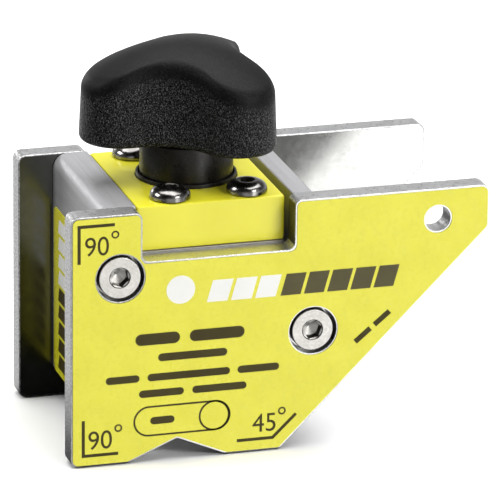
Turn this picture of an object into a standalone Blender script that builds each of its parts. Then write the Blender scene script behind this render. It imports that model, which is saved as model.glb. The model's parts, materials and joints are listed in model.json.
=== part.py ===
"""Switchable permanent-magnet welding angle, as an assembly of separate pieces.

Two steel pole plates stand either side of a magnet unit. The unit holds a fixed magnet below and
a turning magnet above, and the three-lobed knob turns the upper one by half a turn.

Units are metres. +X runs along the plates, -Y is the front and +Z is up. The origin lies midway
between the plates, at half their length, on the surface that the plates stand on.
"""

import math

import bmesh
import bpy
from mathutils import Matrix, Vector

# ---------------------------------------------------------------- driving dimensions
PLATE_LENGTH = 0.1000
PLATE_HEIGHT = 0.0603
PLATE_THICKNESS = 0.0055
PLATE_SPACE = 0.0426            # clear space between the two plates
PLATE_CORNER = 0.0018           # radius of the outer corners
NOTCH_CORNER = 0.0016
FOOT_CORNER = 0.0010
FOOT_LENGTH = 0.0135            # flat foot left of the pipe vee
VEE_WIDTH = 0.0236
VEE_DEPTH = 0.00505
BASE_LENGTH = 0.0499            # along the floor, from the left edge to the 45 degree edge
NOTCH_LEFT = 0.01685            # notch for the cap, measured from the left edge
NOTCH_WIDTH = 0.03625
NOTCH_DEPTH = 0.0118

HOLE_INSET_X = 0.0125           # hanging hole, from the plate's top right corner
HOLE_INSET_Z = 0.0073
HOLE_RADIUS = 0.0030

SCREW_PLACES = {"left": (-0.03837, 0.04508), "right": (0.00769, 0.02839)}
PLATE_SCREW_RADIUS = 0.0025
PLATE_SCREW_LENGTH = 0.0160
PLATE_HEAD_RADIUS = 0.00485
PLATE_HEAD_HEIGHT = 0.0038
COUNTERBORE_RADIUS = 0.00565
COUNTERBORE_DEPTH = 0.0042
PLATE_HEX = 0.0042              # across the flats of the socket

BODY_LEFT = -0.0417             # saddle between the plates
BODY_RIGHT = 0.0094
BODY_BOSS = 0.0130
BODY_BOTTOM = 0.0068
BODY_WEB = 0.0030
BODY_LEFT_WALL = 0.0084
BODY_RIGHT_WALL = 0.0054
BODY_BOSS_TOP = 0.0345
BODY_CORNER = 0.0036            # rounded upper left edge
BODY_SLOPE_BACK = 0.0016        # how far the saddle stays inside the plates' 45 degree edge

AXIS_X = -0.0153                # the knob's axis
HOUSING_LEFT = -0.0330
HOUSING_LENGTH = 0.0353
HOUSING_BOTTOM = 0.0101
HOUSING_TOP = 0.0486
BORE_RADIUS = 0.0152
MAGNET_RADIUS = 0.0149
MAGNET_HEIGHT = 0.0150
DISC_HEIGHT = 0.0016
FRICTION_HEIGHT = 0.0008

GASKET_THICKNESS = 0.0003
CAP_BOTTOM = 0.0491
CAP_TOP = 0.0599
CAP_BEVEL = 0.0007
COLLAR_RADIUS = 0.0118
COLLAR_BORE = 0.0112
COLLAR_BOTTOM = 0.0517
COLLAR_TOP = 0.0608

CAP_SCREW_MIDDLE = -0.0146      # midway between the cap's screws along X
CAP_SCREW_X = 0.00915           # from there
CAP_SCREW_Y = 0.0163
CAP_SCREW_RADIUS = 0.0025
CAP_SCREW_LENGTH = 0.0220
BUTTON_RADIUS = 0.00475
BUTTON_HEIGHT = 0.00275
BUTTON_HEX = 0.0030

STEM_RADIUS = 0.01095
FLANGE_TOP = 0.0488
DOG_INNER = 0.0112              # from the knob's axis
DOG_WIDTH = 0.0050
DOG_DEPTH = 0.0036
O_RING_Z = 0.0560
O_RING_RADIUS = 0.0105          # to the middle of the ring's cord
O_RING_CORD = 0.0006
KEY_SIZE = 0.0100
KEY_HEIGHT = 0.0030

TRAVEL = math.radians(180.0)    # off to on, clockwise seen from above
STOP_ANGLE = math.radians(90.0)
STOP_RADIUS = 0.0015
STOP_Z = 0.0464
STOP_REACH = 0.0120             # where the pin's end lies, from the knob's axis
CHANNEL_INNER = 0.0116
CHANNEL_OUTER = 0.0165

KNOB_BOTTOM = 0.0697
KNOB_TOP = 0.0921
KNOB_DOME = 12.2                # drop of the top, per metre, at a radius squared
KNOB_VALLEY = 4.0               # what it drops further between the lobes
LOBE_CENTRE = 0.0168
LOBE_RADIUS = 0.0087
KNOB_WAIST = 0.0128
KNOB_LOWER_EDGE = 0.0016
KNOB_SHOULDER = 0.0023
KNOB_DRAFT = 0.0005             # how far the flanks lean in towards the top
LOBE_DIRECTIONS = (math.pi, math.pi / 3.0, -math.pi / 3.0)
KNOB_SCREW_RADIUS = 0.0030
KNOB_HEAD_RADIUS = 0.0050
KNOB_HEAD_HEIGHT = 0.0060
KNOB_HEX = 0.0050
INSERT_FLATS = 0.0120
INSERT_HEIGHT = 0.0098

LABEL_THICKNESS = 0.00015
LABEL_LIFT = 0.00005
LABEL_INSET = 0.00045
SIDE_LABEL_Y = 0.0197
SIDE_LABEL_BOTTOM = 0.0075
SIDE_LABEL_TOP = 0.0482

FLAT_GAP = 0.0002               # between faces that touch
FIT_GAP = 0.0003                # round pieces and what goes into a pocket
ROUND_STEPS = 36
HOLE_STEPS = 24
SCREW_STEPS = 16

# ---------------------------------------------------------------- worked out from the above
HALF_LENGTH = PLATE_LENGTH / 2
HALF_SPACE = PLATE_SPACE / 2
HALF_WIDTH = HALF_SPACE + PLATE_THICKNESS
INNER_HALF = HALF_SPACE - FLAT_GAP
MAGNET_1_BOTTOM = HOUSING_BOTTOM + DISC_HEIGHT + FLAT_GAP
FRICTION_BOTTOM = MAGNET_1_BOTTOM + MAGNET_HEIGHT + FLAT_GAP
MAGNET_2_BOTTOM = FRICTION_BOTTOM + FRICTION_HEIGHT + FLAT_GAP
MAGNET_2_TOP = MAGNET_2_BOTTOM + MAGNET_HEIGHT
FLANGE_BOTTOM = MAGNET_2_TOP + FLAT_GAP
CHANNEL_FLOOR = STOP_Z - STOP_RADIUS - FIT_GAP
STEM_TOP = KNOB_BOTTOM - FIT_GAP
INSERT_BOTTOM = KNOB_BOTTOM + KEY_HEIGHT + FLAT_GAP

Z_AXIS = Vector((0, 0, 1))


# ---------------------------------------------------------------- scene and materials
def clear_scene():
    for item in list(bpy.data.objects):
        bpy.data.objects.remove(item, do_unlink=True)


def new_collection(name):
    collection = bpy.data.collections.new(name)
    bpy.context.scene.collection.children.link(collection)
    return collection


def new_material(name, colour, roughness, metallic):
    material = bpy.data.materials.new(name)
    material.use_nodes = True
    shader = material.node_tree.nodes["Principled BSDF"]
    shader.inputs["Base Color"].default_value = (*colour, 1.0)
    shader.inputs["Roughness"].default_value = roughness
    shader.inputs["Metallic"].default_value = metallic
    return material


FINISHES = {
    "plate_steel": ((0.50, 0.50, 0.49), 0.42, 1.0),
    "satin_aluminium": ((0.62, 0.63, 0.64), 0.38, 1.0),
    "housing_steel": ((0.42, 0.41, 0.39), 0.45, 1.0),
    "yellow_paint": ((0.72, 0.66, 0.04), 0.35, 0.0),
    "yellow_label": ((0.78, 0.74, 0.05), 0.40, 0.0),
    "black_knob": ((0.014, 0.014, 0.015), 0.50, 0.0),
    "black_oxide": ((0.020, 0.018, 0.017), 0.35, 0.6),
    "black_collar": ((0.018, 0.018, 0.018), 0.55, 0.0),
    "bright_screw": ((0.60, 0.59, 0.58), 0.18, 1.0),
    "nickel_screw": ((0.55, 0.54, 0.52), 0.30, 1.0),
    "magnet_nickel": ((0.58, 0.56, 0.52), 0.22, 1.0),
    "seal_rubber": ((0.02, 0.02, 0.02), 0.70, 0.0),
    "white_plastic": ((0.80, 0.79, 0.76), 0.45, 0.0),
    "brass": ((0.72, 0.52, 0.22), 0.30, 1.0),
}


# ---------------------------------------------------------------- modelling helpers
def add_object(name, mesh, finish, collection):
    """An object for the mesh, in its collection and with its finish."""
    item = bpy.data.objects.new(name, mesh)
    collection.objects.link(item)
    if finish:
        mesh.materials.append(materials[finish])
    return item


def smooth(mesh, degrees=32.0):
    """Smooth shading across every edge that turns by less than the angle."""
    mesh.shade_smooth()
    mesh.set_sharp_from_angle(angle=math.radians(degrees))


def mesh_from(bm, name):
    mesh = bpy.data.meshes.new(name)
    bm.to_mesh(mesh)
    bm.free()
    return mesh


def box(name, low, high, finish=None, collection=None):
    """An axis-aligned block between two corners."""
    low, high = Vector(low), Vector(high)
    bm = bmesh.new()
    bmesh.ops.create_cube(bm, size=1.0)
    bmesh.ops.scale(bm, vec=high - low, verts=bm.verts)
    bmesh.ops.translate(bm, vec=(low + high) / 2, verts=bm.verts)
    return add_object(name, mesh_from(bm, name), finish, collection or cutters)


def rod(name, start, end, radius, sides=HOLE_STEPS, turn=0.0, finish=None, collection=None):
    """A cylinder, or a prism with few sides, from start to end."""
    start, end = Vector(start), Vector(end)
    along = end - start
    bm = bmesh.new()
    bmesh.ops.create_cone(bm, cap_ends=True, segments=sides, radius1=radius, radius2=radius,
                          depth=along.length, matrix=Matrix.Rotation(turn, 4, "Z"))
    bmesh.ops.transform(bm, matrix=Z_AXIS.rotation_difference(along).to_matrix().to_4x4(),
                        verts=bm.verts)
    bmesh.ops.translate(bm, vec=(start + end) / 2, verts=bm.verts)
    mesh = mesh_from(bm, name)
    smooth(mesh)
    return add_object(name, mesh, finish, collection or cutters)


def hexagon(name, start, end, across_flats, **keys):
    return rod(name, start, end, across_flats / math.sqrt(3.0), sides=6, turn=math.radians(30), **keys)


def turned(name, profile, finish, collection, closed=False, steps=ROUND_STEPS):
    """A profile of (radius, height) turned about the object's own Z axis.

    An open profile starts and ends on the axis, and runs down its outer side.
    """
    bm = bmesh.new()
    points = [bm.verts.new((radius, 0.0, height)) for radius, height in profile]
    pairs = list(zip(points, points[1:]))
    if closed:
        pairs.append((points[-1], points[0]))
    for pair in pairs:
        bm.edges.new(pair)
    item = add_object(name, mesh_from(bm, name), finish, collection)
    screw = item.modifiers.new("turn", "SCREW")
    screw.axis = "Z"
    screw.steps = screw.render_steps = steps
    screw.use_merge_vertices = True
    screw.merge_threshold = 0.00001
    screw.use_smooth_shade = True
    return item


def rounded(corners, steps=4):
    """A closed outline from (x, z, radius) corners, with an arc at each one."""
    outline = []
    count = len(corners)
    for index, (x, z, radius) in enumerate(corners):
        here = Vector((x, z))
        before = (Vector(corners[index - 1][:2]) - here).normalized()
        after = (Vector(corners[(index + 1) % count][:2]) - here).normalized()
        if radius <= 0.0:
            outline.append(here)
            continue
        half = before.angle(after) / 2
        centre = here + (before + after).normalized() * (radius / math.sin(half))
        first = here + before * (radius / math.tan(half)) - centre
        turn = first.angle_signed(here + after * (radius / math.tan(half)) - centre)
        pieces = max(2, round(steps * abs(turn) / (math.pi / 2)))
        for step in range(pieces + 1):
            outline.append(centre + Matrix.Rotation(-turn * step / pieces, 2) @ first)
    return outline


def inset(corners, distance):
    """The same corners moved inwards from every side, for an outline that runs anticlockwise."""
    moved = []
    count = len(corners)
    for index, (x, z, radius) in enumerate(corners):
        here = Vector((x, z))
        arriving = (here - Vector(corners[index - 1][:2])).normalized()
        leaving = (Vector(corners[(index + 1) % count][:2]) - here).normalized()
        normal_in = Vector((-arriving.y, arriving.x))
        normal_out = Vector((-leaving.y, leaving.x))
        corner = here + (normal_in + normal_out) * distance / (1.0 + normal_in.dot(normal_out))
        turns_left = arriving.x * leaving.y - arriving.y * leaving.x > 0.0
        moved.append((corner.x, corner.y, max(radius - distance if turns_left else radius, 0.0006)))
    return moved


def circle(x, z, radius, steps=HOLE_STEPS):
    return [Vector((x + radius * math.cos(2 * math.pi * step / steps),
                    z + radius * math.sin(2 * math.pi * step / steps))) for step in range(steps)]


def sheet(name, outlines, middle_y, thickness, finish, collection, matrix=None):
    """A flat piece in the XZ plane, from a 2D curve: the first outline is its edge, the rest holes."""
    curve = bpy.data.curves.new(name, "CURVE")
    curve.dimensions = "2D"
    curve.fill_mode = "BOTH"
    curve.extrude = thickness / 2
    for outline in outlines:
        spline = curve.splines.new("POLY")
        spline.points.add(len(outline) - 1)
        for point, place in zip(spline.points, outline):
            point.co = (place.x, place.y, 0.0, 1.0)
        spline.use_cyclic_u = True
    flat = bpy.data.objects.new(name + "_curve", curve)
    collection.objects.link(flat)
    bpy.context.view_layer.update()
    source = flat.evaluated_get(bpy.context.evaluated_depsgraph_get())
    mesh = bpy.data.meshes.new_from_object(source)
    mesh.name = name
    bpy.data.objects.remove(flat, do_unlink=True)
    upright = Matrix.Translation((0.0, middle_y, 0.0)) @ Matrix.Rotation(math.pi / 2, 4, "X")
    bm = bmesh.new()
    bm.from_mesh(mesh)
    bmesh.ops.remove_doubles(bm, verts=bm.verts, dist=0.000001)
    bmesh.ops.dissolve_limit(bm, angle_limit=math.radians(0.5), verts=bm.verts, edges=bm.edges)
    bmesh.ops.transform(bm, matrix=(matrix or Matrix.Identity(4)) @ upright, verts=bm.verts)
    bmesh.ops.recalc_face_normals(bm, faces=bm.faces)
    bm.to_mesh(mesh)
    bm.free()
    smooth(mesh)
    mesh.materials.clear()
    return add_object(name, mesh, finish, collection)


def boolean(item, other, operation="DIFFERENCE"):
    """Cuts the other object from the item, or joins it, and keeps the other as a wire guide."""
    other.hide_render = True
    other.display_type = "WIRE"
    step = item.modifiers.new(operation.lower(), "BOOLEAN")
    step.operation = operation
    step.solver = "EXACT"
    step.object = other


def bevel(item, width, segments):
    step = item.modifiers.new("edges", "BEVEL")
    step.width = width
    step.segments = segments
    step.limit_method = "ANGLE"


# ---------------------------------------------------------------- pole plates and labels
def plate_corners():
    """The cut outline of a pole plate, anticlockwise from its left foot."""
    left = -HALF_LENGTH
    vee_start = left + FOOT_LENGTH
    notch_left = left + NOTCH_LEFT
    notch_right = notch_left + NOTCH_WIDTH
    notch_floor = PLATE_HEIGHT - NOTCH_DEPTH
    slope_top = PLATE_LENGTH - BASE_LENGTH
    return [
        (left, 0.0, PLATE_CORNER),
        (vee_start, 0.0, FOOT_CORNER),
        (vee_start + VEE_WIDTH / 2, VEE_DEPTH, FOOT_CORNER),
        (vee_start + VEE_WIDTH, 0.0, FOOT_CORNER),
        (left + BASE_LENGTH, 0.0, FOOT_CORNER),
        (HALF_LENGTH, slope_top, PLATE_CORNER),
        (HALF_LENGTH, PLATE_HEIGHT, PLATE_CORNER),
        (notch_right, PLATE_HEIGHT, NOTCH_CORNER),
        (notch_right, notch_floor, NOTCH_CORNER),
        (notch_left, notch_floor, NOTCH_CORNER),
        (notch_left, PLATE_HEIGHT, NOTCH_CORNER),
        (left, PLATE_HEIGHT, PLATE_CORNER),
    ]


def hanging_hole(radius):
    return circle(HALF_LENGTH - HOLE_INSET_X, PLATE_HEIGHT - HOLE_INSET_Z, radius)


def pole_plate(name, side):
    """side is -1 for the front plate, which has the hanging hole, and +1 for the rear one."""
    middle = side * (HALF_SPACE + PLATE_THICKNESS / 2)
    outer = side * HALF_WIDTH
    outlines = [rounded(plate_corners())]
    if side < 0:
        outlines.append(hanging_hole(HOLE_RADIUS))
    plate = sheet(name, outlines, middle, PLATE_THICKNESS, "plate_steel", parts)
    inner = side * (HALF_SPACE - 0.001)
    for place, (x, z) in SCREW_PLACES.items():
        floor = outer - side * COUNTERBORE_DEPTH
        boolean(plate, rod(f"{name}_{place}_shank_cut", (x, outer, z), (x, inner, z),
                           PLATE_SCREW_RADIUS + FIT_GAP))
        boolean(plate, rod(f"{name}_{place}_head_cut", (x, outer + side * 0.001, z), (x, floor, z),
                           COUNTERBORE_RADIUS, sides=ROUND_STEPS))
    return plate


def plate_label(name, side):
    """The printed skin on the outer face, held in from the cut edges and clear of the screws."""
    middle = side * (HALF_WIDTH + LABEL_LIFT + LABEL_THICKNESS / 2)
    outlines = [rounded(inset(plate_corners(), LABEL_INSET))]
    if side < 0:
        outlines.append(hanging_hole(HOLE_RADIUS + LABEL_INSET))
    for x, z in SCREW_PLACES.values():
        outlines.append(circle(x, z, COUNTERBORE_RADIUS + LABEL_INSET / 2, ROUND_STEPS))
    return sheet(name, outlines, middle, LABEL_THICKNESS, "yellow_label", parts)


def side_label():
    """The label on the saddle's left face, a rounded rectangle turned to face -X."""
    corner = 0.0020
    corners = [(-SIDE_LABEL_Y, SIDE_LABEL_BOTTOM, corner), (SIDE_LABEL_Y, SIDE_LABEL_BOTTOM, corner),
               (SIDE_LABEL_Y, SIDE_LABEL_TOP, corner), (-SIDE_LABEL_Y, SIDE_LABEL_TOP, corner)]
    middle = BODY_LEFT - LABEL_LIFT - LABEL_THICKNESS / 2
    quarter_turn = Matrix.Rotation(-math.pi / 2, 4, "Z")
    return sheet("side_label", [rounded(corners)], middle, LABEL_THICKNESS, "yellow_label", parts,
                 matrix=quarter_turn)


# ---------------------------------------------------------------- saddle and magnet unit
def spacer_body():
    """The aluminium saddle: a left wall, a web below the magnet unit, and a right wall with a boss."""
    web_top = BODY_BOTTOM + BODY_WEB
    left_wall = BODY_LEFT + BODY_LEFT_WALL
    right_wall = BODY_RIGHT - BODY_RIGHT_WALL
    boss_slope = BODY_BOSS - BODY_RIGHT
    slope_foot = BASE_LENGTH - HALF_LENGTH - BODY_SLOPE_BACK
    corners = [
        (BODY_LEFT, BODY_BOTTOM, 0.0010),
        (slope_foot + BODY_BOTTOM, BODY_BOTTOM, 0.0008),
        (BODY_BOSS, BODY_BOSS - slope_foot, 0.0010),
        (BODY_BOSS, BODY_BOSS_TOP, 0.0015),
        (BODY_RIGHT, BODY_BOSS_TOP + boss_slope, 0.0015),
        (BODY_RIGHT, PLATE_HEIGHT, 0.0012),
        (right_wall, PLATE_HEIGHT, 0.0004),
        (right_wall, web_top, 0.0),
        (left_wall, web_top, 0.0),
        (left_wall, PLATE_HEIGHT, 0.0004),
        (BODY_LEFT, PLATE_HEIGHT, BODY_CORNER),
    ]
    body = sheet("spacer_body", [rounded(corners, steps=6)], 0.0, 2 * INNER_HALF,
                 "satin_aluminium", parts)
    for place, (x, z) in SCREW_PLACES.items():
        boolean(body, rod(f"body_{place}_thread_cut", (x, -HALF_SPACE, z), (x, HALF_SPACE, z),
                          PLATE_SCREW_RADIUS + FLAT_GAP))
    return body


def cap_screw_places():
    return [(CAP_SCREW_MIDDLE + across * CAP_SCREW_X, along * CAP_SCREW_Y)
            for along in (-1, 1) for across in (-1, 1)]


def magnet_housing():
    """The steel block that carries the flux to the plates, bored through for the magnets."""
    block = box("magnet_housing", (HOUSING_LEFT, -INNER_HALF, HOUSING_BOTTOM),
                (HOUSING_LEFT + HOUSING_LENGTH, INNER_HALF, HOUSING_TOP), "housing_steel", parts)
    over = 0.001
    boolean(block, rod("housing_bore_cut", (AXIS_X, 0, HOUSING_BOTTOM - over),
                       (AXIS_X, 0, HOUSING_TOP + over), BORE_RADIUS, sides=ROUND_STEPS))
    thread_end = CAP_TOP - CAP_SCREW_LENGTH - 0.0015
    for number, (x, y) in enumerate(cap_screw_places(), start=1):
        boolean(block, rod(f"housing_thread_{number}_cut", (x, y, thread_end), (x, y, HOUSING_TOP + over),
                           CAP_SCREW_RADIUS + FLAT_GAP))
    boolean(block, rod("housing_stop_cut", (AXIS_X, BORE_RADIUS - over, STOP_Z),
                       (AXIS_X, HALF_SPACE, STOP_Z), STOP_RADIUS + FLAT_GAP))
    return block


def disc(name, bottom, height, finish, radius=MAGNET_RADIUS, edge=0.0003):
    """A plain round disc on the knob's axis with a small edge break."""
    top = bottom + height
    item = turned(name, [(0, top), (radius - edge, top), (radius, top - edge), (radius, bottom + edge),
                         (radius - edge, bottom), (0, bottom)], finish, parts)
    item.location.x = AXIS_X
    return item


def dog_boxes(name, grow, bottom, top):
    """Two blocks at opposite edges of the magnet: the actuator's dogs, or the slots they enter."""
    inner = DOG_INNER - grow
    outer = MAGNET_RADIUS + (0.001 if grow else -FLAT_GAP)
    half = DOG_WIDTH / 2 + grow
    blocks = []
    for side, label in ((-1, "left"), (1, "right")):
        near, far = sorted((AXIS_X + side * inner, AXIS_X + side * outer))
        blocks.append(box(f"{name}_{label}", (near, -half, bottom), (far, half, top)))
    return blocks


def upper_magnet():
    magnet = disc("upper_magnet", MAGNET_2_BOTTOM, MAGNET_HEIGHT, "magnet_nickel")
    floor = FLANGE_BOTTOM - DOG_DEPTH - FIT_GAP
    for block in dog_boxes("magnet_slot", FLAT_GAP, floor, MAGNET_2_TOP + 0.001):
        boolean(magnet, block)
    return magnet


def cap_gasket():
    """The thin seal between the housing and the cap, with its holes."""
    half_x, half_y = HOUSING_LENGTH / 2, INNER_HALF
    centre_x = HOUSING_LEFT + half_x
    corners = [(centre_x - half_x, -half_y, 0.001), (centre_x + half_x, -half_y, 0.001),
               (centre_x + half_x, half_y, 0.001), (centre_x - half_x, half_y, 0.001)]
    outlines = [rounded(corners), circle(AXIS_X, 0.0, BORE_RADIUS + FLAT_GAP, ROUND_STEPS)]
    for x, y in cap_screw_places():
        outlines.append(circle(x, y, CAP_SCREW_RADIUS + FLAT_GAP / 2, 16))
    laid_flat = Matrix.Translation((0, 0, (HOUSING_TOP + CAP_BOTTOM) / 2)) @ \
        Matrix.Rotation(-math.pi / 2, 4, "X")
    return sheet("cap_gasket", outlines, 0.0, GASKET_THICKNESS, "seal_rubber", parts, matrix=laid_flat)


def top_cap():
    """The yellow cover block, with a stepped bore for the collar and holes for its four screws."""
    cap = box("top_cap", (HOUSING_LEFT, -INNER_HALF, CAP_BOTTOM),
              (HOUSING_LEFT + HOUSING_LENGTH, INNER_HALF, CAP_TOP), "yellow_paint", parts)
    bevel(cap, CAP_BEVEL, segments=2)
    over = 0.001
    seat = COLLAR_BOTTOM - FLAT_GAP
    boolean(cap, rod("cap_stem_cut", (AXIS_X, 0, CAP_BOTTOM - over), (AXIS_X, 0, CAP_TOP + over),
                     STEM_RADIUS + FIT_GAP, sides=ROUND_STEPS))
    boolean(cap, rod("cap_collar_cut", (AXIS_X, 0, seat), (AXIS_X, 0, CAP_TOP + over),
                     COLLAR_RADIUS + FLAT_GAP, sides=ROUND_STEPS))
    for number, (x, y) in enumerate(cap_screw_places(), start=1):
        boolean(cap, rod(f"cap_hole_{number}_cut", (x, y, CAP_BOTTOM - over), (x, y, CAP_TOP + over),
                         CAP_SCREW_RADIUS + FIT_GAP))
    return cap


def collar_bush():
    """The black bush that guides the stem and stands a little proud of the cap."""
    edge = 0.0003
    ring = turned("collar_bush", [
        (COLLAR_RADIUS - edge, COLLAR_TOP), (COLLAR_RADIUS, COLLAR_TOP - edge),
        (COLLAR_RADIUS, COLLAR_BOTTOM), (COLLAR_BORE, COLLAR_BOTTOM),
        (COLLAR_BORE, COLLAR_TOP - edge), (COLLAR_BORE + edge, COLLAR_TOP)],
        "black_collar", parts, closed=True)
    ring.location.x = AXIS_X
    return ring


def stop_pin():
    """The dowel in the housing's rear wall that the actuator's channel runs against."""
    return rod("stop_pin", (AXIS_X, STOP_REACH, STOP_Z), (AXIS_X, INNER_HALF - FIT_GAP, STOP_Z), STOP_RADIUS,
               sides=SCREW_STEPS, finish="nickel_screw", collection=parts)


# ---------------------------------------------------------------- turning pieces
def stop_channel():
    """The cutter for the channel in the flange: the pin's travel, the pin's width and clearance."""
    margin = math.asin(STOP_RADIUS / STOP_REACH) + math.radians(1.3)
    start = STOP_ANGLE - margin
    sweep = TRAVEL + 2 * margin
    steps = 40
    outline = [Vector((AXIS_X + radius * math.cos(start + sweep * step / steps),
                       radius * math.sin(start + sweep * step / steps)))
               for radius, order in ((CHANNEL_OUTER, range(steps + 1)), (CHANNEL_INNER, range(steps, -1, -1)))
               for step in order]
    height = FLANGE_TOP + 0.001 - CHANNEL_FLOOR
    laid_flat = Matrix.Translation((0, 0, CHANNEL_FLOOR + height / 2)) @ Matrix.Rotation(-math.pi / 2, 4, "X")
    return sheet("stop_channel_cut", [outline], 0.0, height, None, cutters, matrix=laid_flat)


def actuator():
    """Flange, stem and square key in one turned and milled piece, bored for the knob's screw."""
    edge = 0.0004
    groove_half = O_RING_CORD + FLAT_GAP
    groove_floor = O_RING_RADIUS - O_RING_CORD - FLAT_GAP / 2
    stem = turned("actuator", [
        (0, STEM_TOP), (STEM_RADIUS - edge, STEM_TOP), (STEM_RADIUS, STEM_TOP - edge),
        (STEM_RADIUS, O_RING_Z + groove_half), (groove_floor, O_RING_Z + groove_half),
        (groove_floor, O_RING_Z - groove_half), (STEM_RADIUS, O_RING_Z - groove_half),
        (STEM_RADIUS, FLANGE_TOP), (MAGNET_RADIUS, FLANGE_TOP), (MAGNET_RADIUS, FLANGE_BOTTOM),
        (0, FLANGE_BOTTOM)], "black_oxide", parts)
    stem.location.x = AXIS_X
    half_key = KEY_SIZE / 2
    boolean(stem, box("key_block", (AXIS_X - half_key, -half_key, STEM_TOP - 0.001),
                      (AXIS_X + half_key, half_key, STEM_TOP + KEY_HEIGHT)), "UNION")
    for block in dog_boxes("dog", 0.0, FLANGE_BOTTOM - DOG_DEPTH, FLANGE_BOTTOM + 0.0005):
        boolean(stem, block, "UNION")
    boolean(stem, stop_channel())
    boolean(stem, rod("actuator_bore_cut", (AXIS_X, 0, FLANGE_BOTTOM - 0.001), (AXIS_X, 0, 0.080),
                      KNOB_SCREW_RADIUS + FIT_GAP))
    head_room = FLANGE_BOTTOM + KNOB_HEAD_HEIGHT + 0.0009
    boolean(stem, rod("actuator_head_cut", (AXIS_X, 0, FLANGE_BOTTOM - 0.001), (AXIS_X, 0, head_room),
                      KNOB_HEAD_RADIUS + FIT_GAP))
    return stem


def actuator_o_ring():
    """The ring that seals the stem in its collar, its cord six-sided."""
    cord = [(O_RING_RADIUS + O_RING_CORD * math.cos(turn), O_RING_Z + O_RING_CORD * math.sin(turn))
            for turn in (math.pi / 2 - step * math.pi / 3 for step in range(6))]
    ring = turned("actuator_o_ring", cord, "seal_rubber", parts, closed=True)
    ring.location.x = AXIS_X
    return ring


def lobe_outline(angle):
    """The knob's radius at an angle: three lobe ends joined by hollow flanks, all tangent arcs."""
    nearest = min((math.remainder(angle - lobe, 2 * math.pi) for lobe in LOBE_DIRECTIONS), key=abs)
    offset = abs(nearest)
    step_in = KNOB_WAIST - LOBE_RADIUS
    flank_centre = (LOBE_CENTRE ** 2 - step_in ** 2) / (LOBE_CENTRE - 2 * step_in)
    flank_radius = flank_centre - KNOB_WAIST
    between = Vector((math.cos(math.pi / 3), math.sin(math.pi / 3))) * flank_centre
    lobe = Vector((LOBE_CENTRE, 0.0))
    tangent = lobe + (between - lobe).normalized() * LOBE_RADIUS
    if offset < math.atan2(tangent.y, tangent.x):
        return (LOBE_CENTRE * math.cos(offset)
                + math.sqrt(LOBE_RADIUS ** 2 - (LOBE_CENTRE * math.sin(offset)) ** 2))
    rest = math.pi / 3 - offset
    return (flank_centre * math.cos(rest)
            - math.sqrt(flank_radius ** 2 - (flank_centre * math.sin(rest)) ** 2))


def knob_height(radius, angle):
    """The domed top, which lies lower between the lobes than along them."""
    between = (1 - math.cos(3 * (angle - math.pi))) / 2
    return KNOB_TOP - (KNOB_DOME + KNOB_VALLEY * between) * radius ** 2


def knob_rows():
    """Rows of the knob from bottom to top: (share of the outline, inset, height above the bottom).

    Rows of the top carry None and their drop below the dome instead.
    """
    rows = [(0.45, 0.0, 0.0, None), (1.0, KNOB_LOWER_EDGE, 0.0, None)]
    for turn in (math.radians(45), math.radians(90)):
        rows.append((1.0, KNOB_LOWER_EDGE * (1 - math.sin(turn)),
                     KNOB_LOWER_EDGE * (1 - math.cos(turn)), None))
    for turn in (math.radians(degrees) for degrees in (0, 30, 60, 90)):
        rows.append((1.0, KNOB_DRAFT + KNOB_SHOULDER * (1 - math.cos(turn)), None,
                     KNOB_SHOULDER * (1 - math.sin(turn))))
    for share in (0.75, 0.50, 0.25):
        rows.append((share, 0.0, None, 0.0))
    return rows


def knob():
    """A sphere whose rows and columns are moved onto the lobed, domed shape, with its pocket below."""
    rows = knob_rows()
    bm = bmesh.new()
    bmesh.ops.create_uvsphere(bm, u_segments=54, v_segments=len(rows) + 1, radius=1.0)
    for vert in bm.verts:
        row = round((math.asin(max(-1.0, min(1.0, vert.co.z))) / math.pi + 0.5) * (len(rows) + 1))
        if row in (0, len(rows) + 1):
            vert.co = (0.0, 0.0, KNOB_BOTTOM if row == 0 else KNOB_TOP)
            continue
        share, step_in, rise, drop = rows[row - 1]
        angle = math.atan2(vert.co.y, vert.co.x)
        radius = lobe_outline(angle) * share - step_in
        height = KNOB_BOTTOM + rise if drop is None else knob_height(radius, angle) - drop
        vert.co = (radius * math.cos(angle), radius * math.sin(angle), height)
    mesh = mesh_from(bm, "knob")
    smooth(mesh, 50.0)
    item = add_object("knob", mesh, "black_knob", parts)
    item.location.x = AXIS_X
    half = KEY_SIZE / 2 + FLAT_GAP
    boolean(item, box("knob_key_cut", (AXIS_X - half, -half, KNOB_BOTTOM - 0.001),
                      (AXIS_X + half, half, INSERT_BOTTOM)))
    boolean(item, hexagon("knob_insert_cut", (AXIS_X, 0, INSERT_BOTTOM - FLAT_GAP),
                          (AXIS_X, 0, INSERT_BOTTOM + INSERT_HEIGHT + FLAT_GAP),
                          INSERT_FLATS + 2 * FLAT_GAP))
    return item


def knob_insert():
    """The hexagonal threaded insert moulded into the knob."""
    insert = hexagon("knob_insert", (AXIS_X, 0, INSERT_BOTTOM), (AXIS_X, 0, INSERT_BOTTOM + INSERT_HEIGHT),
                     INSERT_FLATS, finish="brass", collection=parts)
    boolean(insert, rod("insert_thread_cut", (AXIS_X, 0, INSERT_BOTTOM - 0.001),
                        (AXIS_X, 0, INSERT_BOTTOM + INSERT_HEIGHT + 0.001), KNOB_SCREW_RADIUS + FLAT_GAP))
    return insert


# ---------------------------------------------------------------- screws
def head_screw(name, profile, hex_size, hex_depth, head_top, finish, placement):
    """A turned screw whose head points along +Z, with a hexagonal socket, then put in place."""
    screw = turned(name, profile, finish, parts, steps=SCREW_STEPS)
    socket = hexagon(name + "_socket", (0, 0, head_top - hex_depth), (0, 0, head_top + 0.001), hex_size)
    boolean(screw, socket)
    screw.matrix_world = placement
    socket.matrix_world = placement
    return screw


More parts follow.
